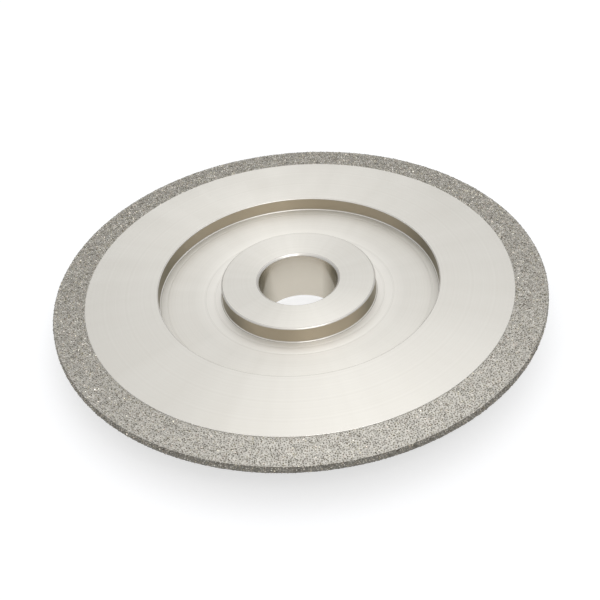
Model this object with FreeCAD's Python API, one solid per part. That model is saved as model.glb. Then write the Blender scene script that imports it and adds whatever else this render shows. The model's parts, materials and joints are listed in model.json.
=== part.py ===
"""Electroplated diamond grinding wheel: a turned steel core with a hub, a front recess and a thin
bevelled rim. One layer of diamond grains is held on the rim by nickel grown around them.

Everything is a body of revolution about +Z. The origin is on the bore axis, in the plane of the
back clamping face. Outlines are drawn in the XZ plane as (radius, height) points, in millimetres.
"""

import FreeCAD, Part
import math
import os

# ---- Driving dimensions ----
WHEEL_DIAMETER = 125.0  # over the grain tips
BORE_DIAMETER = 20.0
HUB_LENGTH = 14.0  # back clamping face to front hub face
HUB_DIAMETER = 39.0
HUB_ABOVE_FACE = 0.55  # front hub face above the edge of the recess
RECESS_DIAMETER = 71.0
RECESS_DEPTH = 3.7
BAND_WIDTH = 8.3  # diamond band on the front of the rim, measured along the radius
FACE_ANGLE = 4.0  # degrees the front face falls, from the recess out to the band
BAND_ANGLE = 8.0  # degrees the diamond band falls, out to the edge
BACK_ANGLE = 20.0  # degrees of the dished back, from the rim in to the clamping face
RIM_LAND = 1.6  # width of the core's bare outer edge, under the coating
LIP_WIDTH = 2.0  # coating wrapped on to the back, measured along the cone
BOND_THICKNESS = 0.22  # nickel over the steel
GRAIN_PROTRUSION = 0.18  # grain tips over the nickel
BAND_RELIEF = 0.30  # step cut in the core, so that the nickel starts below the front face

# ---- Edge breaks and tool radii ----
BORE_CHAMFER = 0.5
HUB_EDGE_CHAMFER = 0.3
RECESS_EDGE_CHAMFER = 0.2
BAND_EDGE_CHAMFER = 0.1
RECESS_FILLET = 0.4
BACK_EDGE_FILLET = 0.6

# ---- Worked out from the driving dimensions ----
COAT_THICKNESS = BOND_THICKNESS + GRAIN_PROTRUSION
BORE_RADIUS = BORE_DIAMETER / 2
HUB_RADIUS = HUB_DIAMETER / 2
RECESS_RADIUS = RECESS_DIAMETER / 2
RIM_RADIUS = WHEEL_DIAMETER / 2 - COAT_THICKNESS
BAND_START_RADIUS = WHEEL_DIAMETER / 2 - BAND_WIDTH
RECESS_EDGE_Z = HUB_LENGTH - HUB_ABOVE_FACE
FLOOR_Z = RECESS_EDGE_Z - RECESS_DEPTH


# ---- Geometry of an outline ----
def direction(degrees):
    """The unit vector at this angle above the outward radius."""
    return (math.cos(math.radians(degrees)), math.sin(math.radians(degrees)))


def moved(point, way, distance):
    """The point, moved this distance along a unit vector."""
    return (point[0] + way[0] * distance, point[1] + way[1] * distance)


def fall(run, degrees):
    """How far a cone of this angle falls over a run along the radius."""
    return run * math.tan(math.radians(degrees))


def unit(start, end):
    """The unit vector from one point to another."""
    length = math.dist(start, end)
    return ((end[0] - start[0]) / length, (end[1] - start[1]) / length)


# ---- Corners of the rim's steel, and the way each of its surfaces faces ----
FACE_END = (BAND_START_RADIUS, RECESS_EDGE_Z - fall(BAND_START_RADIUS - RECESS_RADIUS, FACE_ANGLE))
BAND_START = (BAND_START_RADIUS, FACE_END[1] - BAND_RELIEF)
RIM_FRONT = (RIM_RADIUS, BAND_START[1] - fall(RIM_RADIUS - BAND_START_RADIUS, BAND_ANGLE))
RIM_BACK = (RIM_RADIUS, RIM_FRONT[1] - RIM_LAND)
LIP_END = moved(RIM_BACK, direction(180 + BACK_ANGLE), LIP_WIDTH)
BACK_FACE_RADIUS = RIM_RADIUS - RIM_BACK[1] / math.tan(math.radians(BACK_ANGLE))

BAND_NORMAL = direction(90 - BAND_ANGLE)
EDGE_NORMAL = direction(0)
BACK_NORMAL = direction(BACK_ANGLE - 90)


# ---- Solids ----
def vector(point):
    """The outline point (radius, height) in the XZ plane."""
    return FreeCAD.Vector(point[0], 0, point[1])


def line(start, end):
    return Part.LineSegment(vector(start), vector(end)).toShape()


def spin(edges):
    """The solid that a closed outline sweeps, once round the bore axis."""
    face = Part.Face(Part.Wire(edges))
    solid = face.revolve(FreeCAD.Vector(0, 0, 0), FreeCAD.Vector(0, 0, 1), 360)
    return solid if solid.Volume > 0 else solid.reversed()


def chamfered(before, corner, after, leg):
    """The chamfer's two ends, this far along each side of the corner."""
    start = moved(corner, unit(corner, before), leg)
    end = moved(corner, unit(corner, after), leg)
    return start, end, line(start, end)


def filleted(before, corner, after, radius):
    """The two ends of an arc that touches both sides of the corner, and the arc."""
    to_before, to_after = unit(corner, before), unit(corner, after)
    half_angle = math.acos(to_before[0] * to_after[0] + to_before[1] * to_after[1]) / 2
    inward = unit((0, 0), (to_before[0] + to_after[0], to_before[1] + to_after[1]))
    start = moved(corner, to_before, radius / math.tan(half_angle))
    end = moved(corner, to_after, radius / math.tan(half_angle))
    middle = moved(corner, inward, radius / math.sin(half_angle) - radius)
    return start, end, Part.Arc(vector(start), vector(middle), vector(end)).toShape()


def turned(corners):
    """A turned solid. Each corner is (point, None or chamfered or filleted, its size)."""
    points = [corner[0] for corner in corners]
    cuts = []
    for i, (point, cut, size) in enumerate(corners):
        following = points[(i + 1) % len(points)]
        cuts.append(cut(points[i - 1], point, following, size) if cut else (point, point, None))
    edges = []
    for i, (start, end, edge) in enumerate(cuts):
        if edge:
            edges.append(edge)
        edges.append(line(end, cuts[(i + 1) % len(cuts)][0]))
    return spin(edges)


# ---- Core ----
def wheel_core():
    """The steel body: bore, hub, front recess, conical face, bevelled rim and dished back."""
    return turned([
        ((BORE_RADIUS, 0), chamfered, BORE_CHAMFER),
        ((BORE_RADIUS, HUB_LENGTH), chamfered, BORE_CHAMFER),
        ((HUB_RADIUS, HUB_LENGTH), chamfered, HUB_EDGE_CHAMFER),
        ((HUB_RADIUS, FLOOR_Z), filleted, RECESS_FILLET),
        ((RECESS_RADIUS, FLOOR_Z), filleted, RECESS_FILLET),
        ((RECESS_RADIUS, RECESS_EDGE_Z), chamfered, RECESS_EDGE_CHAMFER),
        (FACE_END, chamfered, BAND_EDGE_CHAMFER),
        (BAND_START, None, 0),
        (RIM_FRONT, None, 0),
        (RIM_BACK, None, 0),
        ((BACK_FACE_RADIUS, 0), filleted, BACK_EDGE_FILLET),
    ])


# ---- Coating ----
def line_round_rim(height):
    """Points round the rim at this height over the steel, from the band's inner edge to the lip's end."""
    return [
        moved(BAND_START, BAND_NORMAL, height),
        moved(RIM_FRONT, BAND_NORMAL, height),
        moved(RIM_FRONT, EDGE_NORMAL, height),
        moved(RIM_BACK, EDGE_NORMAL, height),
        moved(RIM_BACK, BACK_NORMAL, height),
        moved(LIP_END, BACK_NORMAL, height),
    ]


def layer(bottom, top, first, last):
    """A ring of coating between two heights over the steel, from one point of the line to another."""
    below = line_round_rim(bottom)[first : last + 1]
    above = line_round_rim(top)[first : last + 1]
    corners = list(dict.fromkeys(below + above[::-1]))  # at height 0, two points are the same corner
    return turned([(point, None, 0) for point in corners])


def nickel_bond():
    """The plated nickel, one continuous skin from the front band round the edge to the back lip."""
    return layer(0, BOND_THICKNESS, 0, 5)


def diamond_grit_face():
    """Envelope of the grain tips that stand out of the nickel on the front band."""
    return layer(BOND_THICKNESS, COAT_THICKNESS, 0, 1)


def diamond_grit_edge():
    """Envelope of the grain tips round the outer edge and over both of its corners."""
    return layer(BOND_THICKNESS, COAT_THICKNESS, 1, 4)


def diamond_grit_back():
    """Envelope of the grain tips on the narrow lip behind the edge."""
    return layer(BOND_THICKNESS, COAT_THICKNESS, 4, 5)


os.makedirs("parts", exist_ok=True)
for make in (wheel_core, nickel_bond, diamond_grit_face, diamond_grit_edge, diamond_grit_back):
    make().exportStep(f"parts/{make.__name__}.step")
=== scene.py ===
"""Looks of an electroplated diamond grinding wheel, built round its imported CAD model.

The wheel lies on its back face, with its bore along +Z. Lengths are in metres unless a name says _MM.
Each turned shape is swept from the outline of its CAD node. The diamonds are modelled one by one.
"""
import json
import math
import random

import bmesh
import bpy
import numpy as np
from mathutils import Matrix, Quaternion, Vector, kdtree, noise


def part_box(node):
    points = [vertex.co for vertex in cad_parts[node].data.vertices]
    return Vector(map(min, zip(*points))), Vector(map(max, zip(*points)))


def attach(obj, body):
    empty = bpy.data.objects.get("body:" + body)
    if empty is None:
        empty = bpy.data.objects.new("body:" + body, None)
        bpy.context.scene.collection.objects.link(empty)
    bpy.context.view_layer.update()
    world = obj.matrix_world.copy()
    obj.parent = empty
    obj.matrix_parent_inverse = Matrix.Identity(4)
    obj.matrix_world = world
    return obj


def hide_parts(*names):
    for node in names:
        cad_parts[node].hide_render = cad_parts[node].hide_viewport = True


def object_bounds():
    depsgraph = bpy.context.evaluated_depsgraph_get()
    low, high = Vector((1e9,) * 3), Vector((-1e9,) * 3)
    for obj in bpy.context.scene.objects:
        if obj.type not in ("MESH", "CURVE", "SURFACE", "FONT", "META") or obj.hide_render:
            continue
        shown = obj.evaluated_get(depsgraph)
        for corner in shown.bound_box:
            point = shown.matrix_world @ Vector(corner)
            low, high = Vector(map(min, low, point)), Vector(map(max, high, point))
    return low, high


MM = 0.001
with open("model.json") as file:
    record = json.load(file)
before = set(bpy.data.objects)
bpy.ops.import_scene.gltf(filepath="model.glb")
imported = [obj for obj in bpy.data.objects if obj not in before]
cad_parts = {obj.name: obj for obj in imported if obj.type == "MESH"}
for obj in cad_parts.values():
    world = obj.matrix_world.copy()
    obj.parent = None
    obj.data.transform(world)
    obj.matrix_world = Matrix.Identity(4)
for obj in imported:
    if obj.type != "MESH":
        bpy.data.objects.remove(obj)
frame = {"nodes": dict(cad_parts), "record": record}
cad_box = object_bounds()
bore = next(mount for mount in frame["record"]["mounts"] if mount["name"] == "bore")
BORE_RADIUS = bore["dims"]["r_mm"] * MM


# ---- Outlines ----
SAME = 1e-7  # two lengths closer than this are equal
SAME_DIGITS = 7
STRAIGHT = math.radians(0.5)  # an outline that turns less than this is straight
REAL_CORNER = math.radians(30)  # fillets and shallow cones turn less than this


def outline(node):
    """The corners of a CAD node's outline as (radius, height) points, in order, starting anywhere."""
    mesh = frame["nodes"][node].data
    cut = {v.index: (round(v.co.x, SAME_DIGITS), round(v.co.z, SAME_DIGITS))
           for v in mesh.vertices if abs(v.co.y) < SAME and v.co.x > 0}
    neighbours = {point: set() for point in cut.values()}
    for edge in mesh.edges:
        a, b = (cut.get(i) for i in edge.vertices)
        if a and b and a != b:
            neighbours[a].add(b)
            neighbours[b].add(a)
    loop = [min(neighbours)]
    while True:
        onward = [p for p in sorted(neighbours[loop[-1]]) if p not in loop]
        if not onward:
            break
        loop.append(onward[0])
    points = [np.array(p) for p in loop]
    return [p for i, p in enumerate(points) if turn_at(points, i) > STRAIGHT]


def turn_at(points, i):
    """How far the outline turns at its point i, in radians."""
    before = points[i] - points[i - 1]
    after = points[(i + 1) % len(points)] - points[i]
    return abs(math.atan2(cross(before, after), before @ after))


def unit(vector):
    return vector / np.linalg.norm(vector)


def cross(a, b):
    return a[0] * b[1] - a[1] * b[0]


def rotated(vector, angle):
    cos, sin = math.cos(angle), math.sin(angle)
    return np.array([vector[0] * cos - vector[1] * sin, vector[0] * sin + vector[1] * cos])


def eased(points, radius, steps=4, support=0.12 * MM):
    """The outline with each real corner broken by a small arc, and a support point on each side."""
    out = []
    for i, corner in enumerate(points):
        if turn_at(points, i) < REAL_CORNER:
            out.append(corner)
            continue
        before, after = points[i - 1] - corner, points[(i + 1) % len(points)] - corner
        room = 0.45 * min(np.linalg.norm(before), np.linalg.norm(after))  # under half of either side
        to_before, to_after = unit(before), unit(after)
        half = math.acos(np.clip(to_before @ to_after, -1, 1)) / 2
        leg = min(radius / math.tan(half), room)
        centre = corner + unit(to_before + to_after) * leg / math.cos(half)
        start = corner + to_before * leg - centre
        sweep = math.copysign(math.pi - 2 * half, cross(start, corner - centre))
        arc = [centre + rotated(start, sweep * k / steps) for k in range(steps + 1)]
        if room > 2 * leg + support:
            arc.insert(0, corner + to_before * (leg + support))
            arc.append(corner + to_after * (leg + support))
        out += arc
    return out


# ---- Meshes ----
def new_piece(name, vertices, faces, material, nodes, smooth=True):
    """A mesh object that rides on the wheel's one body and stands for these CAD nodes."""
    mesh = bpy.data.meshes.new(name)
    mesh.from_pydata(vertices, [], faces)
    mesh.polygons.foreach_set("use_smooth", [smooth] * len(mesh.polygons))
    mesh.materials.append(material)
    mesh.update()
    piece = bpy.data.objects.new(name, mesh)
    bpy.context.scene.collection.objects.link(piece)
    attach(piece, "root")
    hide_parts(*nodes)
    return piece


def swept(loop, segments):
    """Vertices and outward faces of a closed outline swept once round +Z, one outline after another."""
    area = sum(cross(a, b) for a, b in zip(loop, loop[1:] + loop[:1]))
    count = len(loop)
    angles = np.arange(segments) * 2 * math.pi / segments
    radii, heights = np.array(loop).T
    vertices = np.empty((segments, count, 3))
    vertices[:, :, 0] = np.outer(np.cos(angles), radii)
    vertices[:, :, 1] = np.outer(np.sin(angles), radii)
    vertices[:, :, 2] = heights
    faces = []
    for j in range(segments):
        here, there = j * count, ((j + 1) % segments) * count
        for i in range(count):
            k = (i + 1) % count
            quad = (here + i, there + i, there + k, here + k)
            faces.append(quad if area > 0 else quad[::-1])
    return vertices.reshape(-1, 3), faces


# ---- Node trees ----
MIX_FIRST, MIX_SECOND = 6, 7  # the colour inputs of a Mix node


class Nodes:
    """The node tree of a new material or world, with short calls for adding and joining its nodes."""

    def __init__(self, owner, shader):
        owner.use_nodes = True
        self.owner = owner
        self.tree = owner.node_tree
        self.shader = self.tree.nodes[shader]

    def add(self, kind, inputs=None, **settings):
        node = self.tree.nodes.new("ShaderNode" + kind)
        for key, value in settings.items():
            setattr(node, key, value)
        for key, value in (inputs or {}).items():
            self.join(value, node.inputs[key])
        return node

    def join(self, value, socket):
        if isinstance(value, bpy.types.NodeSocket):
            self.tree.links.new(value, socket)
        else:
            socket.default_value = value

    def math(self, operation, a, b=0.0):
        return self.add("Math", {0: a, 1: b}, operation=operation).outputs[0]

    def mixed(self, *shares):
        """The weighted sum of (value, weight) pairs."""
        total = 0.0
        for value, weight in shares:
            total = self.math("ADD", total, self.math("MULTIPLY", value, weight))
        return total

    def product(self, first, *others):
        for other in others:
            first = self.math("MULTIPLY", first, other)
        return first

    def tinted(self, a, b):
        """One colour multiplied by another."""
        return self.add("VectorMath", {0: a, 1: b}, operation="MULTIPLY").outputs[0]

    def split(self, vector):
        """The x, y and z of a vector."""
        return self.add("SeparateXYZ", {0: vector}).outputs

    def ramp(self, value, stops):
        """A colour ramp over the value, with stops of (position, colour)."""
        node = self.add("ValToRGB", {0: value})
        elements = node.color_ramp.elements
        elements[0].position, elements[0].color = stops[0][0], (*stops[0][1], 1)
        elements[1].position, elements[1].color = stops[-1][0], (*stops[-1][1], 1)
        for position, colour in stops[1:-1]:
            elements.new(position).color = (*colour, 1)
        return node.outputs[0]

    def levels(self, value, stops):
        """A grey ramp over the value, with stops of (position, brightness)."""
        return self.ramp(value, [(position, (brightness,) * 3) for position, brightness in stops])

    def blend(self, colour, other, share):
        """One colour, with this share of another."""
        inputs = {MIX_FIRST: colour, MIX_SECOND: (*other, 1), 0: share}
        return self.add("Mix", inputs, data_type="RGBA").outputs[2]

    def rescale(self, value, low, high, from_low=0.0, from_high=1.0):
        """The value mapped from one range to another, and held at that range's ends."""
        return self.add("MapRange", {0: value, 1: from_low, 2: from_high, 3: low, 4: high}).outputs[0]

    def noise(self, place, scale, detail):
        return self.add("TexNoise", {"Vector": place, "Scale": scale, "Detail": detail}).outputs[0]

    def clumps(self, place):
        """Noise in patches of about a millimetre, shared by the grains and the nickel between them."""
        return self.noise(place, 1000.0, 1.0)

    def bump(self, height, distance, strength):
        return self.add("Bump", {"Strength": strength, "Distance": distance, "Height": height}).outputs[0]

    def rings(self, along_cut, per_mm):
        """Uneven rings left by the turning tool, about this many to a millimetre."""
        inputs = {"W": along_cut, "Scale": per_mm, "Detail": 2.0}
        return self.add("TexNoise", inputs, noise_dimensions="1D").outputs[0]

    def set(self, **inputs):
        for key, value in inputs.items():
            self.join(value, self.shader.inputs[key.replace("_", " ")])


def new_material(name):
    return Nodes(bpy.data.materials.new(name), "Principled BSDF")


# ---- Materials ----
WHITE = (1.0, 1.0, 1.0)
NICKEL_DARK, NICKEL_LIGHT = (0.715, 0.695, 0.645), (0.79, 0.773, 0.727)
# Painted shade on the walls: warm tan, and darker where a wall is seen aslant.
WALL_PAINTED_SHADE = (0.57, 0.50, 0.385)
WALL_PAINTED_SHADE_ASLANT = (0.21, 0.19, 0.135)
# Painted light on the recess floor by the hub's foot, and a painted highlight on edges and fillets.
HUB_FOOT_PAINTED_LIGHT = (0.93, 0.91, 0.865)
EDGE_PAINTED_HIGHLIGHT = (0.93, 0.915, 0.88)
EDGE_LINE = (0.38, 0.36, 0.32)
PLATE_DARK, PLATE_LIGHT = (0.36, 0.346, 0.315), (0.51, 0.492, 0.45)
GRAIN_DARK, GRAIN_MIDDLE, GRAIN_LIGHT = (0.34, 0.33, 0.30), (0.53, 0.515, 0.475), (0.77, 0.75, 0.70)
GRAIN_YELLOW, GRAIN_GREEN, GRAIN_PINK = (1.0, 0.95, 0.78), (0.98, 1.0, 0.97), (1.0, 0.90, 0.85)
GRAIN_FLAW = (0.57, 0.555, 0.52)
PAINTED_LIGHT_REACH = 7 * MM  # how far from the hub the painted light on the recess floor reaches


def turned_nickel(hub_radius, recess_radius):
    """Fine turned steel under a bright nickel flash: rings left by the tool, and a soft bloom.

    Edges and fillets are smoother and carry a painted highlight. Walls carry painted warm shade, less of it
    in the bore, and more painted shade where they are seen aslant. The recess floor has painted light close
    to the hub, against the shade at the hub's foot. A thin dark line marks where the front meets an edge of
    the recess, the hub or the bore.
    """
    n = new_material("turned_nickel")
    place = n.add("TexCoord").outputs["Object"]
    x, y, z = n.split(place)
    radius = n.math("SQRT", n.math("ADD", n.math("MULTIPLY", x, x), n.math("MULTIPLY", y, y)))
    along_cut = n.math("MULTIPLY", n.math("ADD", radius, z), 1 / MM)
    fine, rings, broad = (n.rings(along_cut, per_mm) for per_mm in (9.0, 1.6, 0.35))
    bloom = n.noise(place, 70.0, 4.0)
    outward = n.add("VectorMath", {0: n.tinted(place, (1, 1, 0))}, operation="NORMALIZE").outputs[0]
    streaks = n.noise(outward, 7.0, 3.0)
    mottle = n.mixed((bloom, 0.4), (streaks, 0.25), (rings, 0.22), (fine, 0.13))
    tint = n.ramp(mottle, [(0.35, NICKEL_DARK), (0.65, NICKEL_LIGHT)])

    facing_up = n.split(n.add("NewGeometry").outputs["Normal"])["Z"]
    upright = n.math("ABSOLUTE", facing_up)
    wall = n.rescale(upright, 1.0, 0.0, 0.1, 0.35)
    in_bore = n.product(wall, n.math("LESS_THAN", radius, 0.9 * hub_radius))
    # painted warm shade on every wall, less of it on the bore's wall
    tint = n.blend(tint, WALL_PAINTED_SHADE, n.mixed((wall, 1.0), (in_bore, -0.55)))
    turned_away = n.add("LayerWeight", {"Blend": 0.5}).outputs["Facing"]  # 0 square on, 1 edge on
    # painted shade: walls darker where they are seen aslant
    painted_shade_aslant = n.rescale(turned_away, 0.0, 0.8, 0.37, 0.62)
    tint = n.blend(tint, WALL_PAINTED_SHADE_ASLANT, n.product(wall, painted_shade_aslant))

    from_hub = n.math("SUBTRACT", radius, hub_radius)
    past_hub = n.math("GREATER_THAN", from_hub, 0.0)
    level = n.math("GREATER_THAN", facing_up, 0.9)
    # painted light on the recess floor near the hub, against the shade at the hub's foot
    painted_light_mask = n.product(n.rescale(from_hub, 0.9, 0.0, 0.0, PAINTED_LIGHT_REACH), past_hub, level)
    tint = n.blend(tint, HUB_FOOT_PAINTED_LIGHT, painted_light_mask)

    line = n.levels(facing_up, [(0.90, 0), (0.93, 1), (0.985, 1), (0.995, 0)])
    inside_band = n.math("LESS_THAN", radius, recess_radius + 1 * MM)
    tint = n.blend(tint, EDGE_LINE, n.product(line, inside_band, 0.9))
    edge = n.levels(upright, [(0.25, 0), (0.45, 1), (0.86, 1), (0.92, 0)])
    # painted highlight on edges and fillets; their lower roughness below is the real smoother finish
    tint = n.blend(tint, EDGE_PAINTED_HIGHLIGHT, edge)

    roughness = n.math("ADD", n.rescale(rings, 0.38, 0.46), n.rescale(bloom, -0.07, 0.07))
    roughness = n.mixed((roughness, 1.0), (edge, -0.12), (in_bore, -0.2))
    height = n.mixed((rings, 0.7), (fine, 0.1), (broad, 1.5))
    tangent = n.add("Tangent", direction_type="RADIAL", axis="Z").outputs[0]
    n.set(Metallic=0.74, Base_Color=tint, Roughness=roughness, Anisotropic=0.8, Anisotropic_Rotation=0.25,
          Tangent=tangent, Normal=n.bump(height, 0.0024 * MM, 1.0))
    return n.owner


def plated_nickel():
    """Matt nickel grown between the grains."""
    n = new_material("plated_nickel")
    place = n.add("TexCoord").outputs["Object"]
    patches = n.noise(place, 2200.0, 4.0)
    shade = n.mixed((patches, 0.4), (n.clumps(place), 0.6))
    tint = n.ramp(shade, [(0.35, PLATE_DARK), (0.65, PLATE_LIGHT)])
    n.set(Metallic=1.0, Base_Color=tint, Roughness=n.rescale(patches, 0.26, 0.40),
          Normal=n.bump(patches, 0.03 * MM, 0.5))
    return n.owner


def diamond():
    """Grey synthetic diamond. Grains differ in tint, singly and in clumps. Some carry a film of nickel."""
    n = new_material("diamond")
    place = n.add("TexCoord").outputs["Object"]
    own = n.add("NewGeometry").outputs["Random Per Island"]
    shade = n.math("ADD", n.math("MULTIPLY", own, 0.5), n.rescale(n.clumps(place), -0.3, 0.8, 0.3, 0.7))
    grey = n.ramp(shade, [(0.0, GRAIN_DARK), (0.5, GRAIN_MIDDLE), (1.0, GRAIN_LIGHT)])
    own_again = n.math("FRACT", n.math("MULTIPLY", own, 7.0))
    hue = n.ramp(own_again, [(0.0, GRAIN_YELLOW), (0.4, GRAIN_GREEN), (1.0, GRAIN_PINK)])
    flaws = n.noise(place, 6000.0, 3.0)
    tint = n.blend(n.tinted(grey, hue), GRAIN_FLAW, n.rescale(flaws, 0.1, 0.4, 0.4, 0.7))
    filmed = n.math("GREATER_THAN", own, 0.72)
    n.set(Base_Color=tint, Metallic=filmed, Roughness=n.rescale(flaws, 0.2, 0.45), IOR=2.42,
          Normal=n.bump(flaws, 0.01 * MM, 0.3))
    return n.owner


# ---- Core ----
CORE_SEGMENTS = 640
EDGE_BREAK = 0.3 * MM
RING_WIDTH = 0.6 * MM
RING_DEPTH = 0.03 * MM
RING_STEPS = 6
RINGS_FROM_HUB = (1.6 * MM, 4.0 * MM)
RING_FROM_WALL = 1.5 * MM


def with_tool_rings(points):
    """The outline with shallow rings in the recess floor, where the turning tool paused."""
    hub, wall = floor_ends(points)
    radii = [hub[0] + away for away in RINGS_FROM_HUB] + [wall[0] - RING_FROM_WALL]
    across = np.linspace(-0.5, 0.5, RING_STEPS + 1)
    rings = [np.array([radius + RING_WIDTH * t, hub[1] - RING_DEPTH * math.cos(math.pi * t) ** 2])
             for radius in radii for t in across]
    first, last = (next(i for i, p in enumerate(points) if p is end) for end in (hub, wall))
    if first > last:
        first, rings = last, rings[::-1]
    return points[:first + 1] + rings + points[first + 1:]


def floor_ends(points):
    """The two ends of the recess floor: the only flat side that is neither the front nor the back."""
    top, bottom = max(p[1] for p in points), min(p[1] for p in points)
    for a, b in zip(points, points[1:] + points[:1]):
        level = abs(a[1] - b[1]) < SAME
        if level and bottom + MM < a[1] < top - MM:
            return sorted((a, b), key=lambda p: p[0])


core_outline = eased(outline("wheel_core"), EDGE_BREAK)
hub_foot, wall_foot = floor_ends(core_outline)
core_material = turned_nickel(hub_foot[0], wall_foot[0])
core_outline = with_tool_rings(core_outline)
vertices, faces = swept(core_outline, CORE_SEGMENTS)
new_piece("turned_core", vertices, faces, core_material, ["wheel_core"])

# ---- Coating ----
GRAIN_SPACING = 0.46 * MM
GRAIN_SIZE = 0.46 * MM
BOND_SEGMENTS = 1500
BOND_SPACING = 0.23 * MM
BOND_DIP = 0.12 * MM
MENISCUS = 0.09 * MM
LUMPS = 0.03 * MM
LUMPS_SCALE = 3.3 / MM
CORNER_BUILD_UP = 0.15 * MM
CORNER_REACH = 0.2 * MM
ENDS_FADE = 0.3 * MM  # the nickel keeps its CAD height at both ends of its path, and sinks over this much
CRYSTAL_SHAPES = 24
THROWS_PER_GRAIN = 12
EXPECTED_PACKING = 0.7  # grains for each square of one spacing, used only to count the throws


def coat_paths():
    """The nickel's outer and inner sides, each from the band's inner edge to the lip's end.

    The outer side has 6 corners. The third and the fourth are the ends of its straight outer edge.
    """
    loop = outline("nickel_bond")
    rim = max(p[0] for p in loop)
    edge = [i for i, p in enumerate(loop) if p[0] > rim - 10 * SAME]
    top = max(edge, key=lambda i: loop[i][1])
    bottom = min(edge, key=lambda i: loop[i][1])
    step = 1 if (bottom - top) % len(loop) == 1 else -1
    in_order = [loop[(top + step * k) % len(loop)] for k in range(-2, len(loop) - 2)]
    outer, inner = in_order[:6], in_order[:5:-1]
    outer[0][0] = inner[0][0]  # the nickel meets the wall of the step it fills
    return outer, inner


class Path:
    """A line of (radius, height) points, measured along its length, facing its left side."""

    def __init__(self, points):
        self.points = np.array(points)
        sides = np.diff(self.points, axis=0)
        self.lengths = np.linalg.norm(sides, axis=1)
        self.starts = np.concatenate([[0.0], np.cumsum(self.lengths)])
        self.length = self.starts[-1]
        self.ways = sides / self.lengths[:, None]

    def at(self, distance):
        """The point at this distance along the line, and the unit normal there."""
        i = int(np.clip(np.searchsorted(self.starts, distance, side="right") - 1, 0, len(self.lengths) - 1))
        way = self.ways[i]
        return self.points[i] + way * (distance - self.starts[i]), np.array([-way[1], way[0]])


def scatter(path, spacing, seed):
    """Grain places as (distance along the path, angle), no two closer than spacing, in random order."""
    rng = random.Random(seed)
    margin = 0.15 * spacing
    widest = max(path.points[:, 0])
    narrowest = min(path.points[:, 0])
    columns = int(2 * math.pi * narrowest / spacing)  # each cell is at least one spacing wide
    expected = EXPECTED_PACKING * path.length * 2 * math.pi * widest / spacing**2
    cells = {}
    places = []
    for _ in range(int(expected * THROWS_PER_GRAIN)):
        s = rng.uniform(margin, path.length - margin)
        radius = path.at(s)[0][0]
        if rng.random() > radius / widest:  # a narrower circle takes fewer grains
            continue
        angle = rng.uniform(0, 2 * math.pi)
        row, column = int(s / spacing), int(angle / (2 * math.pi) * columns)
        around = ((row + i, (column + j) % columns) for i in (-1, 0, 1) for j in (-1, 0, 1))
        others = (place for cell in around for place in cells.get(cell, ()))
        if all(gap(s, angle, other, radius) >= spacing for other in others):
            cells.setdefault((row, column), []).append((s, angle))
            places.append((s, angle))
    return places


def gap(s, angle, other, radius):
    """The distance over the surface from this place, at this radius, to the other (s, angle)."""
    turn = (angle - other[1] + math.pi) % (2 * math.pi) - math.pi
    return math.hypot(s - other[0], radius * turn)


def crystal_shapes(count, seed):
    """Blocky crystals of unit size, as (vertices, triangles): cubes, octahedra and shapes between them."""
    rng = np.random.default_rng(seed)
    cube = [(x, y, z) for x in (-1, 1) for y in (-1, 1) for z in (-1, 1)]
    octahedron = [sign * np.eye(3)[axis] for axis in range(3) for sign in (-1, 1)]
    between = [np.insert([a, b], axis, 0) for axis in range(3) for a in (-1, 1) for b in (-1, 1)]
    shapes = []
    for k in range(count):
        corners = np.array((cube, octahedron, between)[k % 3], float)
        corners /= np.linalg.norm(corners, axis=1).max()
        skew = np.eye(3) + rng.uniform(-0.22, 0.22, (3, 3))
        shapes.append(hull(corners @ skew.T))
    return shapes


def hull(corners):
    """The convex hull of a few points, as (vertices, triangles)."""
    bm = bmesh.new()
    for c in corners:
        bm.verts.new(c)
    bmesh.ops.convex_hull(bm, input=bm.verts)
    bmesh.ops.recalc_face_normals(bm, faces=bm.faces)
    bm.verts.index_update()
    vertices = np.array([v.co for v in bm.verts])
    triangles = np.array([[v.index for v in f.verts] for f in bm.faces])
    bm.free()
    return vertices, triangles


def crystals(path, places, protrusion, seed):
    """Vertices and triangles of one crystal at each place, sunk so that its tip stands this proud."""
    rng = np.random.default_rng(seed)
    shapes = crystal_shapes(CRYSTAL_SHAPES, seed)
    vertices, triangles, used = [], [], 0
    for s, angle in places:
        corners, faces = shapes[rng.integers(len(shapes))]
        spin = Quaternion(rng.normal(size=4)).normalized().to_matrix()
        size = GRAIN_SIZE / 2 * rng.uniform(0.85, 1.3)
        solid = corners @ np.array(spin).T * size
        (radius, height), (out, up) = path.at(s)
        normal = np.array([out * math.cos(angle), out * math.sin(angle), up])
        foot = np.array([radius * math.cos(angle), radius * math.sin(angle), height])
        proud = protrusion * rng.uniform(0.55, 1.0)
        vertices.append(solid + foot + normal * (proud - (solid @ normal).max()))
        triangles.append(faces + used)
        used += len(corners)
    return np.concatenate(vertices), np.concatenate(triangles)


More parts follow.
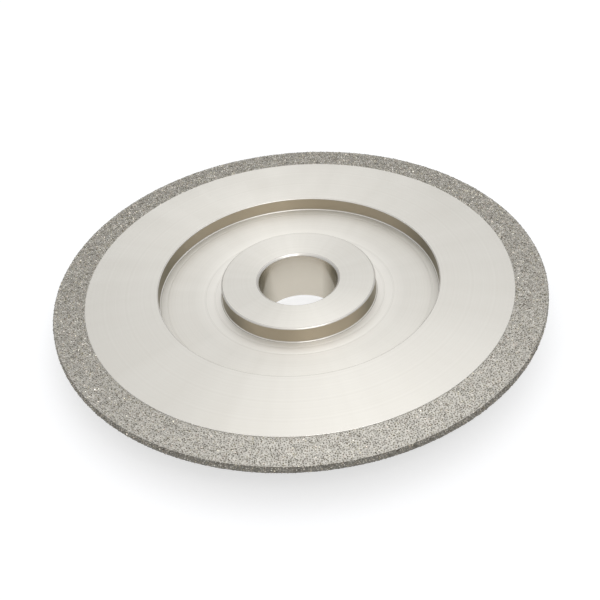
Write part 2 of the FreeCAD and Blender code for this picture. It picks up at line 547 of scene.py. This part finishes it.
def bond_mesh(inner, path, places):
    """The nickel, finely divided. It rises round each grain and sinks between them."""
    grains = kdtree.KDTree(len(places))
    for i, (s, angle) in enumerate(places):
        radius, height = path.at(s)[0]
        grains.insert((radius * math.cos(angle), radius * math.sin(angle), height), i)
    grains.balance()
    count = math.ceil(path.length / BOND_SPACING)
    distances = [path.length * k / count for k in range(count + 1)]
    loop = [path.at(s)[0] for s in distances] + inner[::-1]
    vertices, faces = swept(loop, BOND_SEGMENTS)
    corners = [(path.starts[i] + path.starts[i + 1]) / 2 for i in (1, 3)]  # the rim's two, bevelled
    for k, s in enumerate(distances[1:-1], start=1):
        fade = min(1.0, s / ENDS_FADE, (path.length - s) / ENDS_FADE)
        from_corner = min(abs(s - corner) for corner in corners)
        build_up = CORNER_BUILD_UP * math.exp(-(from_corner / CORNER_REACH) ** 2)
        out, up = path.at(s)[1]
        for j in range(BOND_SEGMENTS):
            angle = 2 * math.pi * j / BOND_SEGMENTS
            vertex = vertices[j * len(loop) + k]
            from_grain = grains.find(vertex)[2]
            meniscus = MENISCUS * math.exp(-(from_grain / (GRAIN_SIZE / 2)) ** 2)
            lumps = LUMPS * noise.noise(Vector(vertex) * LUMPS_SCALE)
            normal = np.array([out * math.cos(angle), out * math.sin(angle), up])
            vertex += normal * (meniscus + lumps + build_up - BOND_DIP) * fade
    return vertices, faces


outer, inner = coat_paths()
path = Path(outer)
places = scatter(path, GRAIN_SPACING, seed=7)
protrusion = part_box("diamond_grit_edge")[1].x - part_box("nickel_bond")[1].x

bond_material = plated_nickel()
vertices, faces = bond_mesh(inner, path, places)
new_piece("plated_nickel", vertices, faces, bond_material, ["nickel_bond"])

grain_material = diamond()
zones = (
    ("face", 0, path.starts[1]),
    ("edge", path.starts[1], path.starts[4]),
    ("back", path.starts[4], path.length),
)
for number, (zone, first, last) in enumerate(zones):
    own_places = [p for p in places if first <= p[0] < last]
    vertices, faces = crystals(path, own_places, protrusion, seed=20 + number)
    new_piece("diamonds_" + zone, vertices, faces.tolist(), grain_material, ["diamond_grit_" + zone],
              smooth=False)


# ---- Studio ----
FLOOR_RADIUS = 6.0
FLOOR_SIDES = 96
FLOOR_GAP = 0.02 * MM
FLOOR_GREY, FLOOR_GREY_SEEN = (0.44, 0.44, 0.44), (0.42, 0.43, 0.45)
WARM_LOW, WARM_MIDDLE, WARM_HIGH = (0.47, 0.43, 0.37), (0.51, 0.465, 0.40), (1.0, 0.97, 0.93)
CAMERA_ELEVATION = math.radians(38.7)
CAMERA_ROLL = math.radians(5.2)
CAMERA_DISTANCE = 0.3544
CAMERA_LENS = 84  # millimetres


def linked(obj):
    """The object, after putting it in the scene."""
    bpy.context.scene.collection.objects.link(obj)
    return obj


def turntable():
    """An empty at the origin that turns to face the camera, and takes the light round with it."""
    obj = linked(bpy.data.objects.new("turntable", None))
    track = obj.constraints.new("LOCKED_TRACK")
    track.target = bpy.context.scene.camera
    track.track_axis = "TRACK_NEGATIVE_Y"
    track.lock_axis = "LOCK_Z"
    return obj


def floor_paper():
    """Pale paper. It glows a little to the camera, so that shadows stay light, and also under the bore."""
    n = new_material("floor_paper")
    place = n.add("TexCoord").outputs["Object"]
    from_axis = n.add("VectorMath", {0: place}, operation="LENGTH").outputs["Value"]
    under_bore = n.rescale(from_axis, 0.64, 0.0, BORE_RADIUS, 1.4 * BORE_RADIUS)
    seen = n.add("LightPath").outputs["Is Camera Ray"]
    n.set(Base_Color=n.ramp(seen, [(0.0, FLOOR_GREY), (1.0, FLOOR_GREY_SEEN)]), Roughness=0.9,
          Emission_Color=(*WHITE, 1),
          Emission_Strength=n.math("MAXIMUM", under_bore, n.rescale(seen, 0.0, 0.65)))
    return n.owner


def floor():
    """A wide pale sheet just under the wheel."""
    turns = [2 * math.pi * k / FLOOR_SIDES for k in range(FLOOR_SIDES)]
    ring = [(FLOOR_RADIUS * math.cos(turn), FLOOR_RADIUS * math.sin(turn), -FLOOR_GAP) for turn in turns]
    mesh = bpy.data.meshes.new("studio_floor")
    mesh.from_pydata(ring, [], [list(range(FLOOR_SIDES))])
    mesh.materials.append(floor_paper())
    linked(bpy.data.objects.new("studio_floor", mesh))


def studio_world(facing):
    """Pale surroundings: bright overhead, dimmer to the sides and low down, and warm on the camera's side.

    To the camera itself they are plain white.
    """
    world = bpy.data.worlds.new("studio")
    n = Nodes(world, "Background")
    coords = n.add("TexCoord", object=facing)
    x, y, z = n.split(coords.outputs["Object"])
    height = n.math("ADD", z, n.math("MULTIPLY", y, 0.12))  # counts as higher behind the wheel
    level = n.levels(height, [(0.0, 0.46), (0.42, 0.52), (0.66, 1.0), (0.82, 1.30), (1.0, 1.05)])
    from_front = n.rescale(y, 0.0, 1.0, -1.0, 0.0)
    warmth = n.ramp(from_front, [(0.0, WARM_LOW), (0.24, WARM_MIDDLE), (0.44, WARM_HIGH), (1.0, WHITE)])
    aside = n.math("ABSOLUTE", n.math("SUBTRACT", x, 0.12))  # brightest a little to the right
    fan = n.levels(aside, [(0.0, 1.02), (0.3, 0.97), (0.8, 0.58)])
    light = n.tinted(n.tinted(level, warmth), fan)
    seen = n.add("LightPath").outputs["Is Camera Ray"]
    n.set(Color=n.blend(light, WHITE, seen), Strength=1.0)
    bpy.context.scene.world = world


def softbox(name, facing, place, size, power):
    """A rectangular light that turns with the turntable and shines at the wheel."""
    light = bpy.data.lights.new(name, "AREA")
    light.shape = "RECTANGLE"
    light.size, light.size_y = size
    light.energy = power
    obj = linked(bpy.data.objects.new(name, light))
    obj.parent = facing
    obj.location = place
    obj.rotation_mode = "QUATERNION"
    obj.rotation_quaternion = (-Vector(place)).to_track_quat("-Z", "Y")


def camera():
    """Looks down at the middle of the wheel from in front of it, turned a little about its own axis."""
    rim_middle = Vector((0, 0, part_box("diamond_grit_edge")[1].z))
    middle = (cad_box[0] + cad_box[1]) / 2
    data = bpy.data.cameras.new("camera")
    data.lens = CAMERA_LENS
    data.clip_start, data.clip_end = 0.01, 50
    obj = linked(bpy.data.objects.new("camera", data))
    backward = Vector((0, -math.cos(CAMERA_ELEVATION), math.sin(CAMERA_ELEVATION)))
    obj.location = rim_middle + backward * CAMERA_DISTANCE
    level_view = (middle - obj.location).to_track_quat("-Z", "Y")
    obj.rotation_mode = "QUATERNION"
    obj.rotation_quaternion = level_view @ Quaternion((0, 0, 1), -CAMERA_ROLL)
    bpy.context.scene.camera = obj


camera()
facing = turntable()
floor()
studio_world(facing)
softbox("overhead", facing, place=(0.2, 0.6, 1.7), size=(1.2, 1.2), power=2.5)
softbox("key", facing, place=(0.3, -0.95, 1.35), size=(0.9, 0.5), power=3.5)
bpy.context.scene.view_settings.view_transform = "Standard"
